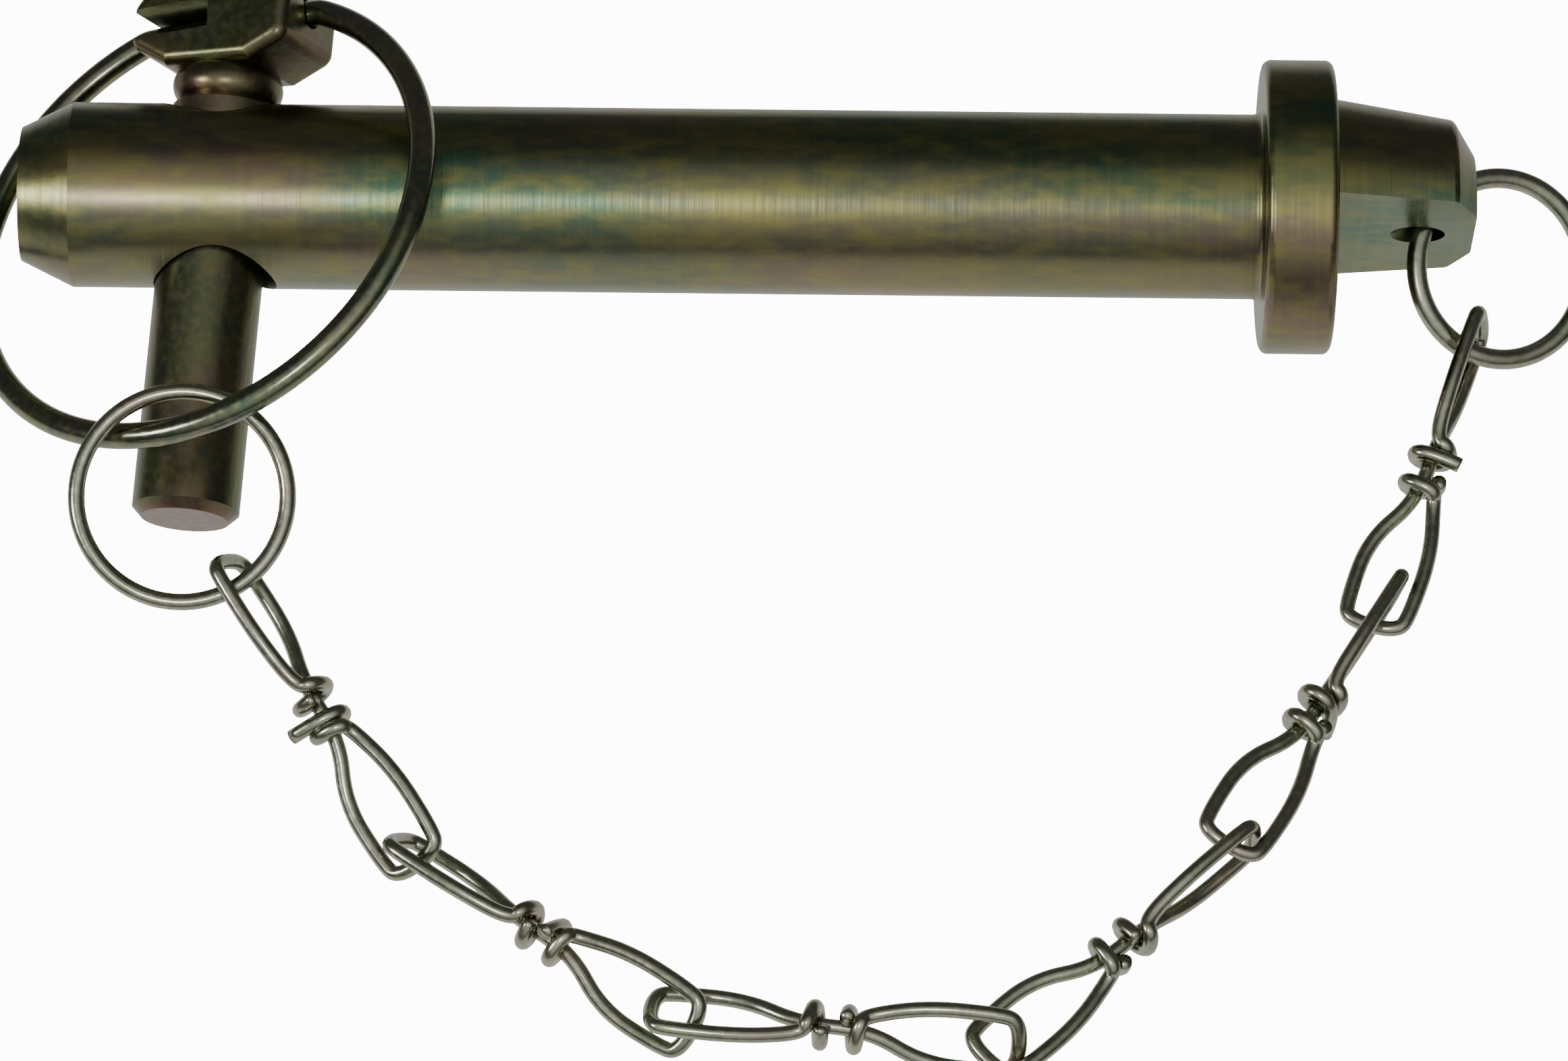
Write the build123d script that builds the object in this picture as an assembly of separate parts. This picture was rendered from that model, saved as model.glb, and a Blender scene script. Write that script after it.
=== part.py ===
from build123d import *

import math
import os

# Top link pin with its linch pin and the knotted chain that keeps the two together.
# Millimetres. The origin is on the link pin's axis, at the collar's bearing face.
# +X runs along the link pin towards its nose, -Y towards the chain, +Z up.

# Link pin
SHANK_R = 9.5
SHANK_LENGTH = 127.0
END_CONE_LENGTH = 5.3
END_CONE_R = 6.9
COLLAR_R = 15.1
COLLAR_WIDTH = 7.3
COLLAR_EDGE = 0.9
COLLAR_ROOT = 0.8
NOSE_ROOT_R = 11.2
NOSE_TIP_R = 9.1
NOSE_TAPER_LENGTH = 12.4
NOSE_CHAMFER_R = 5.4
NOSE_CHAMFER_LENGTH = 2.2
NOSE_EDGE = 0.8
FLAT_DEPTH = 2.9
FLAT_SLOPE = 11.0

# Slanting hole through the nose's corner, from the flat to the end; it is drilled from a
# start clear of the flat, and clear of the collar
EYE_R = 2.1
EYE_X = 16.1
EYE_SLANT = 48.0
EYE_START = 6.0

# Cross hole near the shank's end, and the linch pin's stud in it
HOLE_X = -107.0
HOLE_R = 6.3
STUD_R = 5.5
STUD_REACH = 34.5
STUD_CHAMFER = 1.0
STUD_SLOPE = 17.0
STUD_LEAN = 4.0

# Linch pin head; levels are measured up the stud from the link pin's axis
BEAD_LEVEL = 11.5
BEAD_R = 5.7
NECK_R = 4.9
NECK_HALF_LENGTH = 1.7
HEAD_BASE_LEVEL = 13.0
HEAD_HALF_WIDTH = 9.2
HEAD_LOW_LEVEL = 15.2
HEAD_HIGH_LEVEL = 19.4
HEAD_TOP_LEVEL = 24.2
HEAD_NOTCH_LEVEL = 20.8
HEAD_THICKNESS = 11.0
HEAD_CORNER_R = 1.6
HEAD_EDGE = 1.2
SOCKET_LEVEL = 18.2
SOCKET_GAP = 0.25

# Linch ring
RING_R = 25.8
RING_WIRE_R = 1.35
RING_BEND_R = 3.0
RING_PEG_END = 1.0
RING_HALF_MOUTH = 10.2
RING_TURN = 27.3
RING_TILT = 15.4
RING_SKEW = 5.0

# Chain and rings
LINK_WIRE_R = 0.8
LINK_HALF = 18.2
LOOP_HALF_WIDTH = 3.7
LOOP_BEND_R = 3.0
COIL_HALF = 1.72
COIL_BEND_R = 1.6
COIL_TURN_R = 0.84
COIL_START = 3.15
COIL_STEP = 0.42
COIL_LEAD = 0.1
LEG_START = 4.6
LEG_BEND_R = 5.0
LOOP_ROLL = 45.0
TETHER_R = 10.6
TETHER_WIRE_R = 0.85
NOSE_RING_R = 9.35
NOSE_RING_WIRE_R = 1.05

# How the rings lie
TETHER_CENTRE = (-108.83, -37.66, 1.89)
TETHER_FACING = 63.2
NOSE_RING_SWING = 25.0

# Radii nearer than this count as the same when edges are picked
SAME_R = 0.01

# Knot centre, heading, slope and roll of each link as it lies, from the tether ring to the nose ring
LINK_POSES = [
    (-94.44, -57.46, -6.71, -55.5, -16.0, -4.7),
    (-71.92, -79.58, -12.14, -35.4, 0.0, -4.9),
    (-42.99, -89.79, -11.92, -6.1, 0.8, 16.1),
    (-14.73, -80.48, -11.79, 43.0, 1.9, 46.4),
    (4.82, -54.00, -10.69, 60.5, -2.7, 55.9),
    (16.97, -26.13, -9.23, 70.9, 7.1, 39.7),
]


def slope_direction(degrees):
    """Unit direction towards -Y, sloping down by the angle."""
    angle = math.radians(degrees)
    return Vector(0, -math.cos(angle), -math.sin(angle))


def about(vector, axis, degrees):
    """Turn a direction about an axis through the origin."""
    return vector.rotate(Axis((0, 0, 0), tuple(axis)), degrees)


def tube(path, radius):
    """Round wire along a smooth path."""
    section = Plane(origin=path @ 0, z_dir=path % 0) * Circle(radius)
    return sweep(section, path=path)


def eye_plane():
    """Plane at the mouth of the nose's slanting hole, with its normal along the hole."""
    facing = slope_direction(FLAT_SLOPE)
    slant = math.radians(EYE_SLANT)
    along = Vector(math.cos(slant), 0, 0) - facing * math.sin(slant)
    across = Vector(math.sin(slant), 0, 0) + facing * math.cos(slant)
    return Plane(origin=Vector(EYE_X, 0, 0) + facing * FLAT_DEPTH, x_dir=across, z_dir=along)


def link_pin():
    """Shank, collar and nose as one turned forging, with its flat and both holes."""
    taper_end = COLLAR_WIDTH + NOSE_TAPER_LENGTH
    tip_x = taper_end + NOSE_CHAMFER_LENGTH
    sides = Polyline(
        (tip_x, 0),
        (-SHANK_LENGTH, 0),
        (-SHANK_LENGTH, END_CONE_R),
        (END_CONE_LENGTH - SHANK_LENGTH, SHANK_R),
        (0, SHANK_R),
        (0, COLLAR_R),
        (COLLAR_WIDTH, COLLAR_R),
        (COLLAR_WIDTH, NOSE_ROOT_R),
        (taper_end, NOSE_TIP_R),
        (tip_x, NOSE_CHAMFER_R),
        close=True,
    )
    body = revolve(make_face(sides), axis=Axis.X)
    circles = body.edges().filter_by(GeomType.CIRCLE)
    rims = circles.filter_by(lambda edge: abs(edge.radius - COLLAR_R) < SAME_R)
    body = fillet(rims, COLLAR_EDGE)
    circles = body.edges().filter_by(GeomType.CIRCLE)
    shank_edges = circles.filter_by(lambda edge: abs(edge.radius - SHANK_R) < SAME_R)
    body = fillet(shank_edges.sort_by(Axis.X)[-1], COLLAR_ROOT)
    nose_edges = body.edges().filter_by(GeomType.CIRCLE).sort_by(lambda edge: edge.arc_center.X)[-2:]
    body = fillet(nose_edges, NOSE_EDGE)
    facing = slope_direction(FLAT_SLOPE)
    waste = Box(
        2 * (tip_x - COLLAR_WIDTH),
        3 * NOSE_ROOT_R,
        NOSE_ROOT_R,
        align=(Align.MIN, Align.CENTER, Align.MIN),
    )
    flat = Plane(origin=facing * FLAT_DEPTH, x_dir=(1, 0, 0), z_dir=facing)
    body -= flat * Pos(COLLAR_WIDTH, 0, 0) * waste
    centred_start = (Align.CENTER, Align.CENTER, Align.MIN)
    body -= eye_plane().offset(-EYE_START) * Cylinder(EYE_R, 3 * NOSE_ROOT_R, align=centred_start)
    drill = Plane(origin=(HOLE_X, 0, 0), x_dir=(1, 0, 0), z_dir=slope_direction(STUD_SLOPE))
    body -= drill * Cylinder(HOLE_R, 3 * SHANK_R)
    return body


def stud_plane():
    """Linch pin's own plane: up the stud is its normal, the ring's side is its -Y side."""
    lean = math.radians(STUD_LEAN)
    down = Vector(-math.sin(lean), 0, 0) + slope_direction(STUD_SLOPE) * math.cos(lean)
    front = down.cross(Vector(1, 0, 0)).normalized()
    side = front.cross(down)
    return Plane(origin=(HOLE_X, 0, 0), x_dir=about(side, down, RING_TURN), z_dir=down * -1)


def ring_plane():
    """Linch ring's own plane: X along its pivot in the head, Y towards the ring's far side."""
    stud = stud_plane()
    front = stud.y_dir * -1
    pivot = about(stud.x_dir, front, RING_SKEW)
    reach = about(pivot.cross(front), pivot, -RING_TILT)
    return Plane(
        origin=stud.origin + stud.z_dir * SOCKET_LEVEL,
        x_dir=pivot,
        z_dir=pivot.cross(reach),
    )


def linch_pin():
    """Turned stud with a bead under a lobed head, and the ring's sockets across the head."""
    tip = -STUD_REACH
    bead = ThreePointArc(
        (NECK_R, BEAD_LEVEL - NECK_HALF_LENGTH),
        (BEAD_R, BEAD_LEVEL),
        (NECK_R, BEAD_LEVEL + NECK_HALF_LENGTH),
    )
    stem = Polyline(
        (NECK_R, BEAD_LEVEL + NECK_HALF_LENGTH),
        (NECK_R, HEAD_LOW_LEVEL),
        (0, HEAD_LOW_LEVEL),
        (0, tip),
        (STUD_R - STUD_CHAMFER, tip),
        (STUD_R, tip + STUD_CHAMFER),
        (STUD_R, BEAD_LEVEL - NECK_HALF_LENGTH - (STUD_R - NECK_R)),
        (NECK_R, BEAD_LEVEL - NECK_HALF_LENGTH),
    )
    turning = Plane.XZ * make_face(stem + bead)
    stud = revolve(turning, axis=Axis.Z)
    lobe_x = 0.62 * HEAD_HALF_WIDTH
    outline = Polyline(
        (NECK_R, HEAD_BASE_LEVEL),
        (HEAD_HALF_WIDTH, HEAD_LOW_LEVEL),
        (HEAD_HALF_WIDTH, HEAD_HIGH_LEVEL),
        (lobe_x, HEAD_TOP_LEVEL),
        (lobe_x / 2, HEAD_TOP_LEVEL),
        (0, HEAD_NOTCH_LEVEL),
        (-lobe_x / 2, HEAD_TOP_LEVEL),
        (-lobe_x, HEAD_TOP_LEVEL),
        (-HEAD_HALF_WIDTH, HEAD_HIGH_LEVEL),
        (-HEAD_HALF_WIDTH, HEAD_LOW_LEVEL),
        (-NECK_R, HEAD_BASE_LEVEL),
        close=True,
    )
    face = make_face(outline)
    corners = face.vertices().sort_by(Axis.Y)[2:]
    face = fillet(corners, HEAD_CORNER_R)
    head = extrude(Plane.XZ * face, HEAD_THICKNESS / 2, both=True)
    head = fillet(head.edges().filter_by(Axis.Y, reverse=True), HEAD_EDGE)
    pin = stud_plane() * (stud + head)
    socket_r = RING_WIRE_R + SOCKET_GAP
    ring = ring_plane()
    socket = Plane(origin=ring.origin, z_dir=ring.x_dir, x_dir=stud_plane().y_dir)
    pin -= socket * Cylinder(socket_r, 4 * HEAD_HALF_WIDTH)
    slot = Box(
        HEAD_THICKNESS,
        2 * socket_r,
        2 * HEAD_HALF_WIDTH,
        align=(Align.MAX, Align.CENTER, Align.MAX),
    )
    pin -= socket * slot
    return pin


def linch_ring():
    """Spring wire hoop whose two ends turn in along the head's sockets."""
    centre_y = math.sqrt(RING_R**2 - RING_HALF_MOUTH**2)
    bend_x = math.sqrt((RING_R - RING_BEND_R) ** 2 - (centre_y - RING_BEND_R) ** 2)
    reach = RING_R / (RING_R - RING_BEND_R)
    hoop_x = bend_x * reach
    hoop_y = centre_y - (centre_y - RING_BEND_R) * reach
    bend_angle = math.atan2(bend_x, centre_y - RING_BEND_R) / 2
    middle_x = bend_x + RING_BEND_R * math.sin(bend_angle)
    middle_y = RING_BEND_R - RING_BEND_R * math.cos(bend_angle)
    path = Wire(
        [
            Line((-RING_PEG_END, 0), (-bend_x, 0)).edge(),
            ThreePointArc((-bend_x, 0), (-middle_x, middle_y), (-hoop_x, hoop_y)).edge(),
            ThreePointArc((-hoop_x, hoop_y), (0, centre_y + RING_R), (hoop_x, hoop_y)).edge(),
            ThreePointArc((hoop_x, hoop_y), (middle_x, middle_y), (bend_x, 0)).edge(),
            Line((bend_x, 0), (RING_PEG_END, 0)).edge(),
        ]
    )
    return ring_plane() * tube(path, RING_WIRE_R)


def tether_plane():
    """Tether ring's own plane, leaning back from the chain."""
    facing = slope_direction(-TETHER_FACING)
    return Plane(origin=TETHER_CENTRE, x_dir=(1, 0, 0), z_dir=facing)


def nose_ring_plane():
    """Nose ring's own plane: Y runs from the middle of the nose's hole to the ring's centre."""
    eye = eye_plane()
    tip_x = COLLAR_WIDTH + NOSE_TAPER_LENGTH + NOSE_CHAMFER_LENGTH
    half_bore = (tip_x - EYE_X) / math.cos(math.radians(EYE_SLANT)) / 2
    sagitta = NOSE_RING_R - math.sqrt(NOSE_RING_R**2 - half_bore**2)
    outward = about(eye.x_dir, eye.z_dir, NOSE_RING_SWING)
    middle = eye.origin + eye.z_dir * half_bore
    centre = middle + outward * (NOSE_RING_R - sagitta / 2)
    return Plane(origin=centre, x_dir=eye.z_dir, z_dir=eye.z_dir.cross(outward))


def chain_link():
    """One bent wire: two loops a quarter turn apart, both ends coiled round the middle."""
    roll = math.radians(LOOP_ROLL)
    coil_x = [COIL_START - COIL_STEP * turn for turn in range(6)]
    flat_half = [
        (LEG_START, 0, 0),
        (LINK_HALF, -LOOP_HALF_WIDTH, 0),
        (LINK_HALF, LOOP_HALF_WIDTH, 0),
        (coil_x[0], COIL_HALF, 0),
        (coil_x[0] - COIL_LEAD, COIL_HALF, COIL_HALF),
        (coil_x[1], -COIL_HALF, COIL_HALF),
        (coil_x[2], -COIL_HALF, -COIL_HALF),
        (coil_x[3], COIL_HALF, -COIL_HALF),
        (coil_x[4], COIL_HALF, COIL_HALF),
        (coil_x[4], -LINK_WIRE_R, COIL_HALF),
    ]
    bends = [LEG_BEND_R, LOOP_BEND_R, LOOP_BEND_R, COIL_TURN_R, COIL_TURN_R] + 4 * [COIL_BEND_R]
    half = [
        (x, y * math.cos(roll) - z * math.sin(roll), y * math.sin(roll) + z * math.cos(roll))
        for x, y, z in flat_half
    ]
    other = [(-x, -y, z) for x, y, z in half]
    path = FilletPolyline(*other[::-1], *half, radius=bends[::-1] + bends)
    return tube(path, LINK_WIRE_R)


def link_plane(x, y, z, heading, slope, roll):
    """Link's own plane: X from the loop nearer the tether ring to the other."""
    turn = math.radians(heading)
    rise = math.radians(slope)
    along = Vector(math.cos(rise) * math.cos(turn), math.cos(rise) * math.sin(turn), math.sin(rise))
    upright = Vector(-math.sin(rise) * math.cos(turn), -math.sin(rise) * math.sin(turn), math.cos(rise))
    return Plane(origin=(x, y, z), x_dir=along, z_dir=about(upright, along, roll))


def build():
    """Every piece by its node name, where it lies."""
    pieces = {
        "link_pin": link_pin(),
        "linch_pin": linch_pin(),
        "linch_ring": linch_ring(),
        "tether_ring": tether_plane() * Torus(TETHER_R, TETHER_WIRE_R),
        "nose_ring": nose_ring_plane() * Torus(NOSE_RING_R, NOSE_RING_WIRE_R),
    }
    link = chain_link()
    for number, pose in enumerate(LINK_POSES, start=1):
        pieces[f"chain_link_{number}"] = link_plane(*pose) * link
    return pieces


os.makedirs("parts", exist_ok=True)
for name, piece in build().items():
    solid = piece.solid()
    solid.label = name
    export_step(solid, f"parts/{name}.step")
    print(name, "volume", round(solid.volume, 1), "box", solid.bounding_box())
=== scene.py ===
"""Finishes for a plated link pin, its ring-headed linch pin and the knotted chain between them.

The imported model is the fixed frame. Every class below owns one sub-assembly, with its sizes
as fields and methods that build its own meshes and dress them. Lengths are in metres, apart
from those of the knotted link and its places, which are in millimetres.
"""

import logging
import math
from dataclasses import dataclass, field
from enum import Enum
from typing import ClassVar

import bmesh
import bpy
from mathutils import Matrix, Vector


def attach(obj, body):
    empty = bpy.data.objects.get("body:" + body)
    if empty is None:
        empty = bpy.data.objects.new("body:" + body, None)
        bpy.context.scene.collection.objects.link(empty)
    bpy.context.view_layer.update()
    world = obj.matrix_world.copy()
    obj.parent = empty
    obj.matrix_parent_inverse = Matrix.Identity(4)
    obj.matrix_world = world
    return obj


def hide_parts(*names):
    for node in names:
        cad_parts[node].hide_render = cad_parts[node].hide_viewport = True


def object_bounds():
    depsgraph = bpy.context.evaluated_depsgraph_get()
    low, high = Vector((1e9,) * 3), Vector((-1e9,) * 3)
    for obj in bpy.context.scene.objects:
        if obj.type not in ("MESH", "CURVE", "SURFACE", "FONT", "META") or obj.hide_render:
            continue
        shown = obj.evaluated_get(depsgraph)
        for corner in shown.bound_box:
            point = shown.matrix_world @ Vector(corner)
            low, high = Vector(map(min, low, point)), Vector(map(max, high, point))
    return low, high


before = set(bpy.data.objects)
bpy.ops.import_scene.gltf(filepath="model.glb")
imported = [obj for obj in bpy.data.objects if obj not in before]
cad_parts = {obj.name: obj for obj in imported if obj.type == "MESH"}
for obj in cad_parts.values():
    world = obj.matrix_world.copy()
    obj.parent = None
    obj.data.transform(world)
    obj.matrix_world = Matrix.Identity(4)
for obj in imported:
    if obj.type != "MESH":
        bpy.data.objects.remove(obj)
CAD_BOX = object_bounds()

log = logging.getLogger("link_pin")
MM = 0.001

Colour = tuple[float, float, float]
Triple = tuple[float, float, float]


class TailStyle(Enum):
    """How the cut end of a link's wire leaves its last coil."""

    TUCKED = "tucked"
    UPRIGHT = "upright"
    SPREAD = "spread"


@dataclass(frozen=True)
class Cloud:
    """One noise mask: scale ratio, octaves, noise values where it starts and is full, offset."""

    ratio: float
    detail: float
    low: float
    high: float
    shift: float


class Groups:
    """Shader node groups that several finishes share, each built once."""

    BLOOM: ClassVar[Cloud] = Cloud(ratio=9.0, detail=4.0, low=0.42, high=0.74, shift=0.31)
    GREEN: ClassVar[Cloud] = Cloud(ratio=1.0, detail=3.0, low=0.4, high=0.68, shift=0.0)
    PINK: ClassVar[Cloud] = Cloud(ratio=0.8, detail=3.0, low=0.44, high=0.7, shift=0.53)
    GOLD: ClassVar[Cloud] = Cloud(ratio=1.6, detail=3.0, low=0.48, high=0.74, shift=0.97)
    CLOUD_DISTORTION: ClassVar[float] = 0.15
    SHIFT_SLANT: ClassVar[float] = 0.7
    # Width of the soft edge of the painted pink reflection.
    PAINTED_REFLECTION_EDGE: ClassVar[float] = 0.5
    LINES_DETAIL: ClassVar[float] = 3.0
    CORNER_FROM: ClassVar[float] = 0.53
    CORNER_FULL: ClassVar[float] = 0.66

    _made: ClassVar[dict[str, bpy.types.NodeTree]] = {}

    @classmethod
    def _start(
        cls, name: str, inputs: dict[str, float | Colour], outputs: dict[str, str]
    ) -> tuple[bpy.types.NodeTree, bpy.types.Node, bpy.types.Node]:
        """Open a new group with its sockets.

        Args:
            name: the group's name.
            inputs: socket names with their first values, a number or a colour.
            outputs: socket names with their socket types.

        Returns:
            The group, its input node and its output node.
        """
        group = bpy.data.node_groups.new(name, "ShaderNodeTree")
        for socket, value in inputs.items():
            kind = "NodeSocketFloat" if isinstance(value, float) else "NodeSocketColor"
            made = group.interface.new_socket(name=socket, in_out="INPUT", socket_type=kind)
            made.default_value = value if isinstance(value, float) else (*value, 1.0)
        for socket, kind in outputs.items():
            group.interface.new_socket(name=socket, in_out="OUTPUT", socket_type=kind)
        start = group.nodes.new("NodeGroupInput")
        end = group.nodes.new("NodeGroupOutput")
        cls._made[name] = group
        return group, start, end

    @classmethod
    def passivation(cls) -> bpy.types.NodeTree:
        """Tints of a passivated zinc coat over broad clouds and fine bloom, and a painted pink
        reflection laid past a plane.

        Returns:
            The node group, built on first use.
        """
        if "passivation" in cls._made:
            return cls._made["passivation"]
        group, start, end = cls._start(
            "passivation",
            {
                "Base": (0.3, 0.3, 0.2),
                "Green": (0.2, 0.3, 0.1),
                "Pink": (0.5, 0.3, 0.3),
                "Gold": (0.5, 0.4, 0.2),
                "Cloud Scale": 90.0,
                "Strength": 0.6,
                "Stretch": 0.35,
                "Drift X": 0.0,
                "Drift Y": 0.0,
                "Drift Z": 0.0,
                "Drift Start": 0.0,
                "Drift": 0.0,
            },
            {"Color": "NodeSocketColor", "Mask": "NodeSocketFloat"},
        )
        nodes, links = group.nodes, group.links
        place = nodes.new("ShaderNodeTexCoord")
        squeeze = nodes.new("ShaderNodeVectorMath")
        squeeze.operation = "MULTIPLY"
        factors = nodes.new("ShaderNodeCombineXYZ")
        factors.inputs["Y"].default_value = 1.0
        factors.inputs["Z"].default_value = 1.0
        links.new(start.outputs["Stretch"], factors.inputs["X"])
        links.new(place.outputs["Object"], squeeze.inputs[0])
        links.new(factors.outputs["Vector"], squeeze.inputs[1])

        def mask(cloud: Cloud) -> bpy.types.NodeSocket:
            """Give one noise mask.

            Args:
                cloud: its scale against the group's, its octaves, its window and its offset.

            Returns:
                The mask's socket.
            """
            moved = nodes.new("ShaderNodeVectorMath")
            offset = (cloud.shift, cloud.shift * cls.SHIFT_SLANT, -cloud.shift)
            moved.inputs[1].default_value = offset
            links.new(squeeze.outputs["Vector"], moved.inputs[0])
            scale = nodes.new("ShaderNodeMath")
            scale.operation = "MULTIPLY"
            scale.inputs[1].default_value = cloud.ratio
            links.new(start.outputs["Cloud Scale"], scale.inputs[0])
            noise = nodes.new("ShaderNodeTexNoise")
            noise.inputs["Detail"].default_value = cloud.detail
            noise.inputs["Distortion"].default_value = cls.CLOUD_DISTORTION
            links.new(moved.outputs["Vector"], noise.inputs["Vector"])
            links.new(scale.outputs["Value"], noise.inputs["Scale"])
            ramp = nodes.new("ShaderNodeMapRange")
            ramp.inputs["From Min"].default_value = cloud.low
            ramp.inputs["From Max"].default_value = cloud.high
            links.new(noise.outputs["Fac"], ramp.inputs["Value"])
            strength = nodes.new("ShaderNodeMath")
            strength.operation = "MULTIPLY"
            links.new(ramp.outputs["Result"], strength.inputs[0])
            links.new(start.outputs["Strength"], strength.inputs[1])
            return strength.outputs["Value"]

        def tint(
            under: bpy.types.NodeSocket, amount: bpy.types.NodeSocket, over: str
        ) -> bpy.types.NodeSocket:
            """Lay one tint over a colour by a mask.

            Args:
                under: the colour below.
                amount: how much of the tint shows.
                over: the group input that holds the tint.

            Returns:
                The mixed colour's socket.
            """
            mix = nodes.new("ShaderNodeMix")
            mix.data_type = "RGBA"
            links.new(amount, mix.inputs["Factor"])
            links.new(under, mix.inputs["A"])
            links.new(start.outputs[over], mix.inputs["B"])
            return mix.outputs["Result"]

        # Painted reflection: a pink tint laid on the side past a plane, where the floor's
        # reflection shows pink.
        facing = nodes.new("ShaderNodeCombineXYZ")
        for axis in "XYZ":
            links.new(start.outputs[f"Drift {axis}"], facing.inputs[axis])
        along = nodes.new("ShaderNodeVectorMath")
        along.operation = "DOT_PRODUCT"
        links.new(place.outputs["Object"], along.inputs[0])
        links.new(facing.outputs["Vector"], along.inputs[1])
        past = nodes.new("ShaderNodeMath")
        past.operation = "SUBTRACT"
        links.new(along.outputs["Value"], past.inputs[0])
        links.new(start.outputs["Drift Start"], past.inputs[1])
        side = nodes.new("ShaderNodeMapRange")
        side.interpolation_type = "SMOOTHSTEP"
        side.inputs["From Max"].default_value = cls.PAINTED_REFLECTION_EDGE
        links.new(past.outputs["Value"], side.inputs["Value"])
        pink_reflection = nodes.new("ShaderNodeMath")
        pink_reflection.operation = "MULTIPLY"
        links.new(side.outputs["Result"], pink_reflection.inputs[0])
        links.new(start.outputs["Drift"], pink_reflection.inputs[1])

        bloom = mask(cls.BLOOM)
        colour = tint(start.outputs["Base"], mask(cls.GREEN), "Green")
        colour = tint(colour, mask(cls.PINK), "Pink")
        colour = tint(colour, mask(cls.GOLD), "Gold")
        # The painted pink reflection goes over the coat's own tints.
        colour = tint(colour, pink_reflection.outputs["Value"], "Pink")
        colour = tint(colour, bloom, "Gold")
        links.new(colour, end.inputs["Color"])
        links.new(bloom, end.inputs["Mask"])
        return group

    @classmethod
    def tool_lines(cls) -> bpy.types.NodeTree:
        """Fine parallel lines, as a turning tool or a drawing die leaves them.

        Returns:
            The node group, built on first use.
        """
        if "tool_lines" in cls._made:
            return cls._made["tool_lines"]
        group, start, end = cls._start(
            "tool_lines",
            {"Across X": 1.0, "Across Y": 0.0, "Across Z": 0.0, "Lines Scale": 900.0},
            {"Height": "NodeSocketFloat"},
        )
        nodes, links = group.nodes, group.links
        place = nodes.new("ShaderNodeTexCoord")
        scale = nodes.new("ShaderNodeCombineXYZ")
        for axis in "XYZ":
            links.new(start.outputs[f"Across {axis}"], scale.inputs[axis])
        stretch = nodes.new("ShaderNodeVectorMath")
        stretch.operation = "MULTIPLY"
        links.new(place.outputs["Object"], stretch.inputs[0])
        links.new(scale.outputs["Vector"], stretch.inputs[1])
        noise = nodes.new("ShaderNodeTexNoise")
        noise.inputs["Detail"].default_value = cls.LINES_DETAIL
        links.new(stretch.outputs["Vector"], noise.inputs["Vector"])
        links.new(start.outputs["Lines Scale"], noise.inputs["Scale"])
        links.new(noise.outputs["Fac"], end.inputs["Height"])
        return group

    @classmethod
    def worn_edges(cls) -> bpy.types.NodeTree:
        """Brighter metal where corners and lips have rubbed.

        Returns:
            The node group, built on first use.
        """
        if "worn_edges" in cls._made:
            return cls._made["worn_edges"]
        group, start, end = cls._start(
            "worn_edges",
            {"Color": (0.3, 0.3, 0.2), "Bright": (0.7, 0.7, 0.6), "Wear": 0.5},
            {"Color": "NodeSocketColor"},
        )
        nodes, links = group.nodes, group.links
        shape = nodes.new("ShaderNodeNewGeometry")
        edge = nodes.new("ShaderNodeMapRange")
        edge.inputs["From Min"].default_value = cls.CORNER_FROM
        edge.inputs["From Max"].default_value = cls.CORNER_FULL
        links.new(shape.outputs["Pointiness"], edge.inputs["Value"])
        amount = nodes.new("ShaderNodeMath")
        amount.operation = "MULTIPLY"
        links.new(edge.outputs["Result"], amount.inputs[0])
        links.new(start.outputs["Wear"], amount.inputs[1])
        mix = nodes.new("ShaderNodeMix")
        mix.data_type = "RGBA"
        links.new(amount.outputs["Value"], mix.inputs["Factor"])
        links.new(start.outputs["Color"], mix.inputs["A"])
        links.new(start.outputs["Bright"], mix.inputs["B"])
        links.new(mix.outputs["Result"], end.inputs["Color"])
        return group


@dataclass(frozen=True)
class PaintedPinkReflection:
    """A painted pink reflection past a plane, on the side where the floor's reflection shows pink:
    its slope along each axis, its level and its strength.
    """

    slope: Triple = (0.0, 0.0, 0.0)
    level: float = 0.0
    amount: float = 0.0


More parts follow.
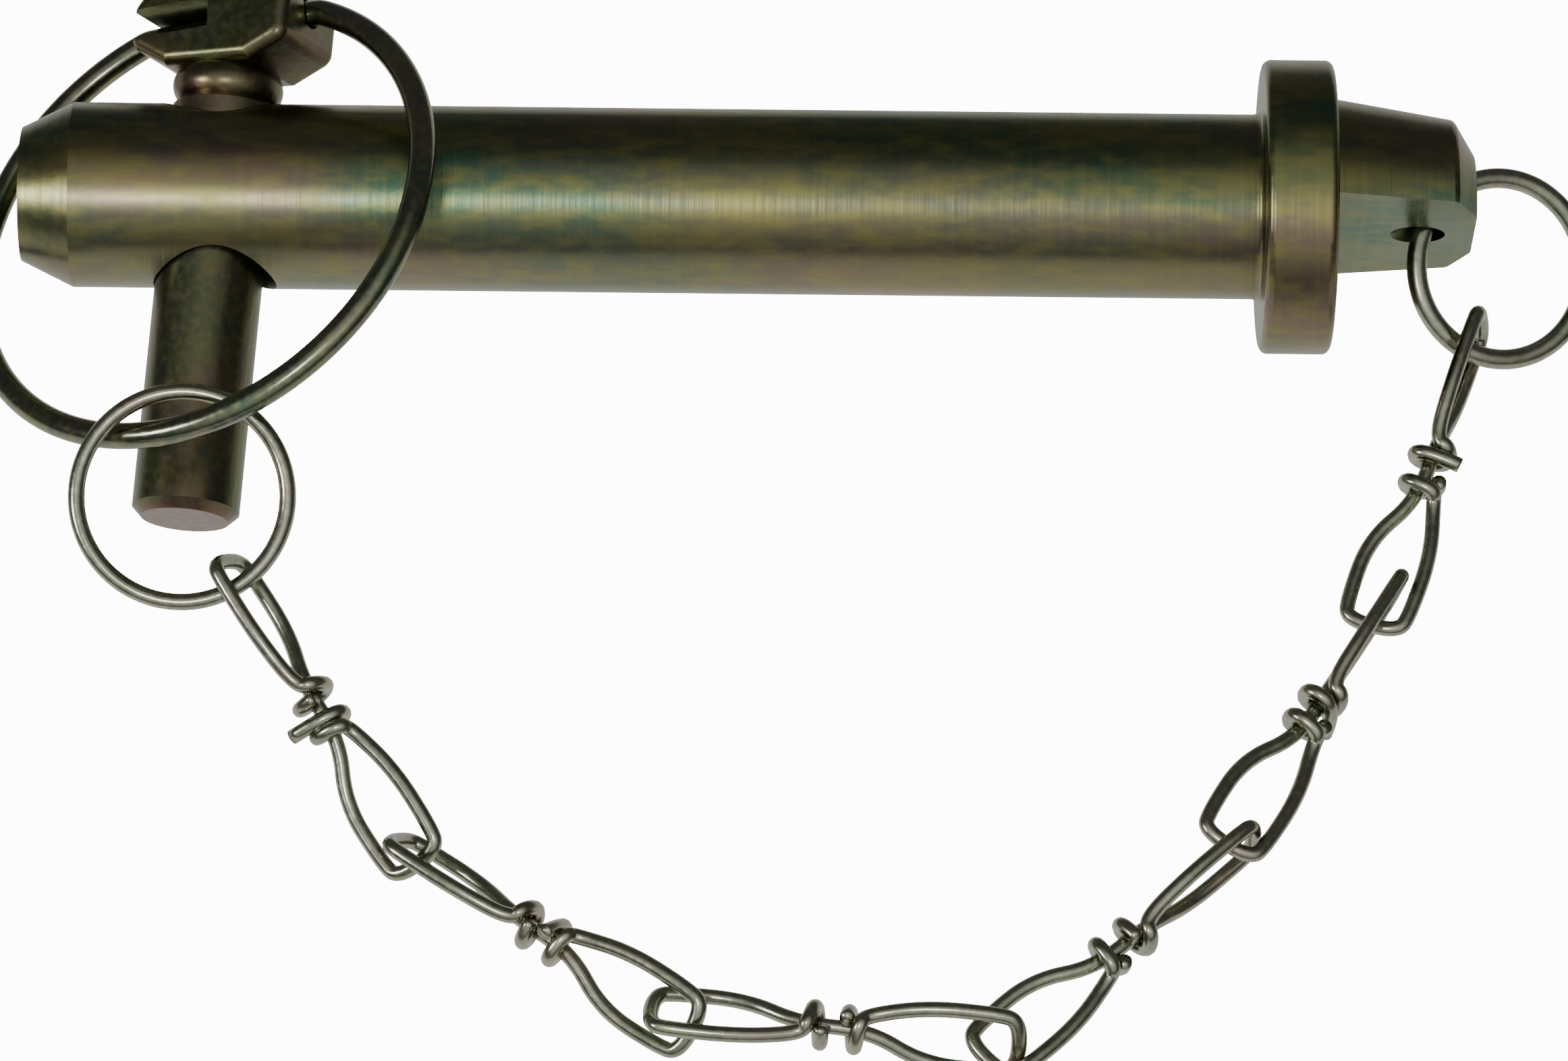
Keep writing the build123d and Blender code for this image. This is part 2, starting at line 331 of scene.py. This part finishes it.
@dataclass(frozen=True)
class ZincFinish:
    """A passivated zinc coat on steel, with its tints, gloss and tool lines, and a painted pink
    reflection on one side.
    """

    STREAK_FROM: ClassVar[float] = 0.46
    STREAK_FULL: ClassVar[float] = 0.68
    GRAIN_DETAIL: ClassVar[float] = 4.0
    GRAIN_RELIEF: ClassVar[float] = 0.05 * MM
    LINES_RELIEF: ClassVar[float] = 0.1 * MM

    name: str
    base: Colour
    green: Colour
    pink: Colour
    gold: Colour
    cloud_scale: float = 90.0
    strength: float = 0.6
    stretch: float = 0.35
    # Painted pink reflection on one side; none unless set.
    pink_reflection: PaintedPinkReflection = PaintedPinkReflection()
    rough_low: float = 0.3
    rough_high: float = 0.46
    wear: float = 0.35
    bright: Colour = (0.3, 0.29, 0.22)
    lines: Triple = (0.0, 0.0, 0.0)
    lines_scale: float = 900.0
    lines_depth: float = 0.12
    lines_tint: float = 0.0
    grain_scale: float = 2600.0
    grain_depth: float = 0.06

    def material(self) -> bpy.types.Material:
        """Build the material from the shared groups.

        Returns:
            The finished material.
        """
        made = bpy.data.materials.new(self.name)
        made.use_nodes = True
        nodes, links = made.node_tree.nodes, made.node_tree.links
        shader = nodes["Principled BSDF"]
        shader.inputs["Metallic"].default_value = 1.0

        tints = nodes.new("ShaderNodeGroup")
        tints.node_tree = Groups.passivation()
        for socket, value in (
            ("Base", self.base),
            ("Green", self.green),
            ("Pink", self.pink),
            ("Gold", self.gold),
        ):
            tints.inputs[socket].default_value = (*value, 1.0)
        tints.inputs["Cloud Scale"].default_value = self.cloud_scale
        tints.inputs["Strength"].default_value = self.strength
        tints.inputs["Stretch"].default_value = self.stretch
        # Where the painted pink reflection lies and how strong it is.
        for axis, value in zip("XYZ", self.pink_reflection.slope, strict=True):
            tints.inputs[f"Drift {axis}"].default_value = value
        tints.inputs["Drift Start"].default_value = self.pink_reflection.level
        tints.inputs["Drift"].default_value = self.pink_reflection.amount

        edges = nodes.new("ShaderNodeGroup")
        edges.node_tree = Groups.worn_edges()
        edges.inputs["Bright"].default_value = (*self.bright, 1.0)
        edges.inputs["Wear"].default_value = self.wear
        links.new(tints.outputs["Color"], edges.inputs["Color"])
        links.new(self._streaks(nodes, links, edges.outputs["Color"]), shader.inputs["Base Color"])

        gloss = nodes.new("ShaderNodeMapRange")
        gloss.inputs["To Min"].default_value = self.rough_low
        gloss.inputs["To Max"].default_value = self.rough_high
        links.new(tints.outputs["Mask"], gloss.inputs["Value"])
        links.new(gloss.outputs["Result"], shader.inputs["Roughness"])
        links.new(self._relief(nodes, links), shader.inputs["Normal"])
        return made

    def _marks(self, nodes: bpy.types.Nodes) -> bpy.types.NodeSocket:
        """Place the tool lines.

        Args:
            nodes: the material's nodes.

        Returns:
            The lines' height.
        """
        marks = nodes.new("ShaderNodeGroup")
        marks.node_tree = Groups.tool_lines()
        for axis, value in zip("XYZ", self.lines, strict=True):
            marks.inputs[f"Across {axis}"].default_value = value
        marks.inputs["Lines Scale"].default_value = self.lines_scale
        return marks.outputs["Height"]

    def _streaks(
        self, nodes: bpy.types.Nodes, links: bpy.types.NodeLinks, under: bpy.types.NodeSocket
    ) -> bpy.types.NodeSocket:
        """Lay gold into the tool lines.

        Args:
            nodes: the material's nodes.
            links: the material's links.
            under: the coat's colour.

        Returns:
            The colour with its streaks.
        """
        if not self.lines_tint:
            return under
        ridge = nodes.new("ShaderNodeMapRange")
        ridge.inputs["From Min"].default_value = self.STREAK_FROM
        ridge.inputs["From Max"].default_value = self.STREAK_FULL
        ridge.inputs["To Max"].default_value = self.lines_tint
        links.new(self._marks(nodes), ridge.inputs["Value"])
        mix = nodes.new("ShaderNodeMix")
        mix.data_type = "RGBA"
        mix.inputs["B"].default_value = (*self.gold, 1.0)
        links.new(ridge.outputs["Result"], mix.inputs["Factor"])
        links.new(under, mix.inputs["A"])
        return mix.outputs["Result"]

    def _relief(self, nodes: bpy.types.Nodes, links: bpy.types.NodeLinks) -> bpy.types.NodeSocket:
        """Stack the fine grain of the coat on the tool lines below it.

        Args:
            nodes: the material's nodes.
            links: the material's links.

        Returns:
            The normal's socket.
        """
        place = nodes.new("ShaderNodeTexCoord")
        grain = nodes.new("ShaderNodeTexNoise")
        grain.inputs["Scale"].default_value = self.grain_scale
        grain.inputs["Detail"].default_value = self.GRAIN_DETAIL
        links.new(place.outputs["Object"], grain.inputs["Vector"])
        frosted = nodes.new("ShaderNodeBump")
        frosted.inputs["Distance"].default_value = self.GRAIN_RELIEF
        frosted.inputs["Strength"].default_value = self.grain_depth
        links.new(grain.outputs["Fac"], frosted.inputs["Height"])
        if not any(self.lines):
            return frosted.outputs["Normal"]
        cut = nodes.new("ShaderNodeBump")
        cut.inputs["Distance"].default_value = self.LINES_RELIEF
        cut.inputs["Strength"].default_value = self.lines_depth
        links.new(self._marks(nodes), cut.inputs["Height"])
        links.new(frosted.outputs["Normal"], cut.inputs["Normal"])
        return cut.outputs["Normal"]


def dress(node: str, finish: bpy.types.Material) -> None:
    """Put one finish on a carried-over node.

    Args:
        node: the node's name.
        finish: the material for all of it.
    """
    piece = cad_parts[node]
    piece.data.materials.clear()
    piece.data.materials.append(finish)
    log.info("%s wears %s", node, finish.name)


@dataclass
class PinAndCollar:
    """The turned pin with its collar and its holed nose."""

    node: str = "link_pin"
    finish: ZincFinish = field(
        default_factory=lambda: ZincFinish(
            "turned_zinc",
            base=(0.092, 0.135, 0.075),
            green=(0.04, 0.13, 0.085),
            pink=(0.24, 0.135, 0.115),
            gold=(0.24, 0.22, 0.07),
            cloud_scale=80.0,
            strength=0.7,
            # Painted reflection: pink on the pin's lower front side, where the floor reflects in
            # it.
            pink_reflection=PaintedPinkReflection(slope=(0.0, -105.0, 0.0), level=0.5, amount=0.25),
            stretch=0.4,
            rough_low=0.3,
            rough_high=0.4,
            lines=(1.0, 0.0, 0.0),
            lines_scale=1100.0,
            lines_depth=0.4,
            lines_tint=0.22,
        )
    )

    def dress(self) -> None:
        """Lay the turned finish on the pin."""
        dress(self.node, self.finish.material())


@dataclass
class LinchPin:
    """The cross stud with its forged head, and the spring ring that snaps over the pin."""

    stud_node: str = "linch_pin"
    ring_node: str = "linch_ring"
    stud_finish: ZincFinish = field(
        default_factory=lambda: ZincFinish(
            "drawn_zinc",
            base=(0.08, 0.1, 0.055),
            green=(0.045, 0.085, 0.04),
            pink=(0.2, 0.1, 0.09),
            gold=(0.17, 0.15, 0.06),
            cloud_scale=120.0,
            stretch=1.0,
            rough_low=0.3,
            rough_high=0.44,
            lines=(1.0, 0.05, 1.0),
            lines_scale=1100.0,
            lines_depth=0.25,
            lines_tint=0.35,
            # Painted reflection: pink towards the stud's cut end, whose face reflects the floor.
            pink_reflection=PaintedPinkReflection(slope=(-34.9, -477.0, -145.9), level=20.5, amount=0.75),
        )
    )
    ring_finish: ZincFinish = field(
        default_factory=lambda: ZincFinish(
            "spring_zinc",
            base=(0.14, 0.165, 0.12),
            green=(0.08, 0.16, 0.11),
            pink=(0.26, 0.16, 0.16),
            gold=(0.28, 0.27, 0.13),
            cloud_scale=140.0,
            stretch=1.0,
            rough_low=0.2,
            rough_high=0.32,
        )
    )

    def dress(self) -> None:
        """Lay the finishes on the stud and on its ring."""
        dress(self.stud_node, self.stud_finish.material())
        dress(self.ring_node, self.ring_finish.material())


@dataclass(frozen=True)
class LinkPose:
    """Where one link's knot lies, in millimetres, and which way the link points, in degrees."""

    middle: Triple
    heading: float
    slope: float
    roll: float
    tail: TailStyle = TailStyle.TUCKED

    def matrix(self) -> Matrix:
        """Give the placement of a link that is built along X about the origin.

        Returns:
            The placement, in metres.
        """
        place = Matrix.Translation(Vector(self.middle) * MM)
        turn = Matrix.Rotation(math.radians(self.heading), 4, "Z")
        rise = Matrix.Rotation(math.radians(-self.slope), 4, "Y")
        twist = Matrix.Rotation(math.radians(self.roll), 4, "X")
        return place @ turn @ rise @ twist


@dataclass
class KnottedLink:
    """One wire bent into two oval loops, its ends coiled round the middle. Millimetres."""

    wire_radius: float = 0.8
    half_length: float = 18.2
    half_width: float = 3.3
    tip_width: float = 2.75
    tip_start: float = 15.9
    shoulder: float = 9.0
    leg_start: float = 3.4
    coil_radius: float = 1.72
    coil_start: float = 2.5
    coil_step: float = 0.42
    coil_lead: float = 0.6
    loop_roll: float = 45.0
    tail_rise: float = 3.3
    tail_back: float = 0.2
    tail_slant: float = 0.6
    tuck_share: float = 0.6
    lift_share: float = 0.8
    cross_share: float = 0.7
    spread_share: float = 1.15
    weld: float = 0.001
    samples: int = 10
    sides: int = 4

    def _half(self, tail: TailStyle) -> list[Vector]:
        """Lay out the control points of one half, from the middle to the cut end.

        Args:
            tail: how the cut end leaves the last coil.

        Returns:
            The points, in the link's own frame.
        """
        coil, width = self.coil_radius, self.half_width
        turns = [self.coil_start - self.coil_step * turn for turn in range(4)]
        points = [
            (self.leg_start, 0.0, 0.0),
            (self.shoulder, -width, 0.0),
            (self.tip_start, -width, 0.0),
            (self.half_length, -self.tip_width, 0.0),
            (self.half_length, self.tip_width, 0.0),
            (self.tip_start, width, 0.0),
            (self.shoulder, width, 0.0),
            (turns[0] + self.coil_lead, coil, 0.0),
            (turns[0], coil, coil),
            (turns[1], -coil, coil),
            (turns[2], -coil, -coil),
            (turns[3], coil, -coil),
        ]
        last, back = turns[3], turns[3] - self.tail_back
        ends = {
            TailStyle.TUCKED: [(last, coil, coil * self.tuck_share)],
            TailStyle.UPRIGHT: [
                (last, coil, coil * self.lift_share),
                (back, coil * self.cross_share, self.tail_rise),
            ],
            TailStyle.SPREAD: [
                (back, coil, coil),
                (last - self.tail_slant, -self.tail_rise, coil * self.spread_share),
            ],
        }
        roll = Matrix.Rotation(math.radians(self.loop_roll), 3, "X")
        return [roll @ Vector(point) for point in points + ends[tail]]

    def mesh(self, name: str, pose: LinkPose) -> bpy.types.Mesh:
        """Sweep the wire along its path and set it in place.

        Args:
            name: the mesh's name.
            pose: where the link lies.

        Returns:
            The finished mesh.
        """
        half = self._half(pose.tail)
        turn = Matrix.Rotation(math.pi, 3, "Z")
        path = [turn @ point for point in reversed(self._half(TailStyle.TUCKED))] + half
        wire = bpy.data.curves.new(name, "CURVE")
        wire.dimensions = "3D"
        line = wire.splines.new("NURBS")
        line.points.add(len(path) - 1)
        for knot, point in zip(line.points, path, strict=True):
            knot.co = (*(point * MM), 1.0)
        line.order_u = 3
        line.use_endpoint_u = True
        line.resolution_u = self.samples
        wire.bevel_depth = self.wire_radius * MM
        wire.bevel_resolution = self.sides
        wire.use_fill_caps = True
        swept = bpy.data.objects.new(name, wire)
        made = bpy.data.meshes.new_from_object(swept)
        bpy.data.objects.remove(swept)
        bpy.data.curves.remove(wire)
        shell = bmesh.new()
        shell.from_mesh(made)
        bmesh.ops.remove_doubles(shell, verts=shell.verts, dist=self.weld * MM)
        bmesh.ops.recalc_face_normals(shell, faces=shell.faces)
        bmesh.ops.transform(shell, matrix=pose.matrix(), verts=shell.verts)
        for face in shell.faces:
            face.smooth = True
        shell.to_mesh(made)
        shell.free()
        return made


@dataclass
class TetherChain:
    """Six knotted links with the ring at each end."""

    rings: tuple[str, str] = ("tether_ring", "nose_ring")
    link: KnottedLink = field(default_factory=KnottedLink)
    poses: tuple[LinkPose, ...] = (
        LinkPose((-94.44, -57.46, -6.71), -55.5, -16.0, -4.7, TailStyle.SPREAD),
        LinkPose((-71.92, -79.58, -12.14), -35.4, 0.0, -4.9, TailStyle.UPRIGHT),
        LinkPose((-42.99, -89.79, -11.92), -6.1, 0.8, 16.1),
        LinkPose((-14.73, -80.48, -11.79), 43.0, 1.9, 46.4),
        LinkPose((4.82, -54.0, -10.69), 60.5, -2.7, 55.9, TailStyle.SPREAD),
        LinkPose((16.97, -26.13, -9.23), 70.9, 7.1, 39.7, TailStyle.UPRIGHT),
    )
    finish: ZincFinish = field(
        default_factory=lambda: ZincFinish(
            "wire_zinc",
            base=(0.3, 0.33, 0.25),
            green=(0.17, 0.24, 0.14),
            pink=(0.36, 0.26, 0.22),
            gold=(0.46, 0.46, 0.32),
            cloud_scale=170.0,
            stretch=1.0,
            rough_low=0.22,
            rough_high=0.34,
            grain_depth=0.015,
        )
    )

    def build(self) -> None:
        """Make the links and lay the wire finish on them and on both rings."""
        coat = self.finish.material()
        for number, pose in enumerate(self.poses, start=1):
            node = f"chain_link_{number}"
            name = f"knotted_link_{number}"
            mesh = self.link.mesh(name, pose)
            mesh.materials.clear()
            mesh.materials.append(coat)
            piece = bpy.data.objects.new(name, mesh)
            bpy.context.scene.collection.objects.link(piece)
            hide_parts(node)
            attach(piece, node)
            log.info("%s stands for %s", name, node)
        for ring in self.rings:
            dress(ring, coat)


@dataclass(frozen=True)
class SoftBox:
    """One soft lamp: where it hangs, the point it faces, its width and height, and its watts."""

    name: str
    place: Triple
    aim: Triple
    size: tuple[float, float]
    power: float


@dataclass
class Studio:
    """The pale floor, the soft lights and the camera."""

    boxes: tuple[SoftBox, ...] = (
        SoftBox("key_box", (-0.15, -0.32, 0.42), (-0.125, 0.0, 0.0), (0.04, 0.03), 0.5),
        SoftBox("long_box", (0.0, -0.62, 0.83), (-0.04, -0.03, 0.0), (0.8, 0.35), 0.5),
        SoftBox("left_box", (-0.6, -0.22, 0.31), (-0.13, 0.0, 0.0), (0.12, 0.12), 1.6),
    )
    floor_half: float = 1.2
    floor_drop: float = 0.25
    floor_rough: float = 0.9
    floor_gloss: float = 0.1
    floor_colour: Colour = (0.9, 0.9, 0.895)
    floor_glow: float = 14.0
    floor_mirrored: float = 0.33
    aim_x: float = -48.5 * MM
    aim_across: float = -33.7 * MM
    aim_z: float = -5.0 * MM
    frame_width: float = 158.2 * MM
    elevation: float = 58.0
    roll: float = 0.6
    lens: float = 200.0
    sensor: float = 36.0
    clip_end: float = 10.0
    world_colour: Colour = (0.97, 0.98, 1.0)
    world_strength: float = 0.85
    wall_light: float = 0.1
    glow_from: Triple = (0.0, -0.6, 0.8)
    glow_edge: float = 0.45

    def build(self) -> None:
        """Set out the floor, the lights, the world and the camera."""
        self._floor()
        self._world()
        for box in self.boxes:
            self._hang(box)
        self._camera()

    def _floor(self) -> None:
        """Lay the floor lower than the chain can swing."""
        shell = bmesh.new()
        bmesh.ops.create_grid(shell, x_segments=1, y_segments=1, size=self.floor_half)
        level = CAD_BOX[0][2] - self.floor_drop
        bmesh.ops.translate(shell, verts=shell.verts, vec=(0.0, 0.0, level))
        mesh = bpy.data.meshes.new("floor")
        shell.to_mesh(mesh)
        shell.free()
        floor = bpy.data.objects.new("floor", mesh)
        bpy.context.scene.collection.objects.link(floor)
        paper = bpy.data.materials.new("floor_paper")
        paper.use_nodes = True
        shader = paper.node_tree.nodes["Principled BSDF"]
        shader.inputs["Base Color"].default_value = (*self.floor_colour, 1.0)
        shader.inputs["Roughness"].default_value = self.floor_rough
        shader.inputs["Specular IOR Level"].default_value = self.floor_gloss
        shader.inputs["Emission Color"].default_value = (*self.floor_colour, 1.0)
        path = paper.node_tree.nodes.new("ShaderNodeLightPath")
        glow = paper.node_tree.nodes.new("ShaderNodeMapRange")
        glow.inputs["To Min"].default_value = self.floor_mirrored
        glow.inputs["To Max"].default_value = self.floor_glow
        paper.node_tree.links.new(path.outputs["Is Camera Ray"], glow.inputs["Value"])
        paper.node_tree.links.new(glow.outputs["Result"], shader.inputs["Emission Strength"])
        mesh.materials.append(paper)

    def _world(self) -> None:
        """Fill the room with a soft white glow from the front, and dim walls."""
        world = bpy.data.worlds.new("studio_room")
        bpy.context.scene.world = world
        world.use_nodes = True
        nodes, links = world.node_tree.nodes, world.node_tree.links
        place = nodes.new("ShaderNodeTexCoord")
        toward = nodes.new("ShaderNodeVectorMath")
        toward.operation = "DOT_PRODUCT"
        toward.inputs[1].default_value = self.glow_from
        links.new(place.outputs["Generated"], toward.inputs[0])
        wall = nodes.new("ShaderNodeMapRange")
        wall.interpolation_type = "SMOOTHSTEP"
        wall.inputs["From Min"].default_value = self.glow_edge
        wall.inputs["To Min"].default_value = self.wall_light
        wall.inputs["To Max"].default_value = self.world_strength
        links.new(toward.outputs["Value"], wall.inputs["Value"])
        background = nodes["Background"]
        background.inputs["Color"].default_value = (*self.world_colour, 1.0)
        links.new(wall.outputs["Result"], background.inputs["Strength"])

    def _hang(self, box: SoftBox) -> None:
        """Hang one soft box.

        Args:
            box: the lamp to hang.
        """
        light = bpy.data.lights.new(box.name, "AREA")
        light.shape = "RECTANGLE"
        light.size, light.size_y = box.size
        light.energy = box.power
        lamp = bpy.data.objects.new(box.name, light)
        lamp.location = box.place
        lamp.rotation_mode = "QUATERNION"
        lamp.rotation_quaternion = (Vector(box.aim) - Vector(box.place)).to_track_quat("-Z", "Y")
        bpy.context.scene.collection.objects.link(lamp)

    def _camera(self) -> None:
        """Stand the camera off along the viewing angle, with a long lens."""
        rise = math.radians(self.elevation)
        back = Vector((0.0, -math.cos(rise), math.sin(rise)))
        aim_y = (self.aim_across - self.aim_z * math.cos(rise)) / math.sin(rise)
        aim = Vector((self.aim_x, aim_y, self.aim_z))
        eye = bpy.data.cameras.new("camera")
        eye.lens = self.lens
        eye.sensor_width = self.sensor
        eye.clip_end = self.clip_end
        distance = self.frame_width * self.lens / self.sensor
        camera = bpy.data.objects.new("camera", eye)
        camera.rotation_mode = "QUATERNION"
        camera.location = aim + back * distance
        level = (-back).to_track_quat("-Z", "Y")
        turn = Matrix.Rotation(math.radians(self.roll), 4, "Z").to_quaternion()
        camera.rotation_quaternion = level @ turn
        bpy.context.scene.collection.objects.link(camera)
        bpy.context.scene.camera = camera


def main() -> None:
    """Dress every sub-assembly in order, then set the studio."""
    logging.basicConfig(level=logging.INFO)
    PinAndCollar().dress()
    LinchPin().dress()
    TetherChain().build()
    Studio().build()


if __name__ == "__main__":
    main()
